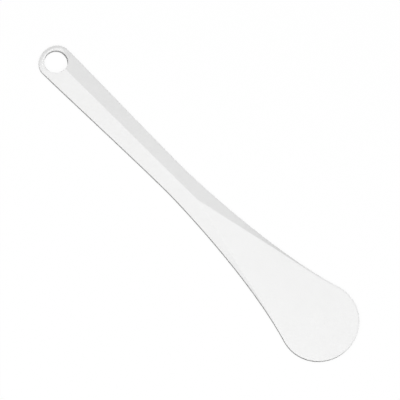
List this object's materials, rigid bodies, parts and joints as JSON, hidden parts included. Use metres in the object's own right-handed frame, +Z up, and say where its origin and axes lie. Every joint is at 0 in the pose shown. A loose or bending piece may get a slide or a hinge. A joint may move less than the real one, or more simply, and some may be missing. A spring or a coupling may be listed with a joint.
{
  "type": "kitchen spatula",
  "caption": "Moulded white nylon kitchen spatula: a hanging eye, a ridged handle and a flat, round-ended blade.",
  "frame": {"origin": "centre of the underside of the bounding box, below the middle of the overall length", "axes": "+X along the long axis from the hanging eye to the blade tip, +Y across, +Z up out of the upper blade face"},
  "size_m": [0.3, 0.0572, 0.0125],
  "materials": {
    "nylon": "satin, as moulded"
  },
  "bodies": {
    "root": {"spatula_body": "nylon"}
  },
  "joints": []
}
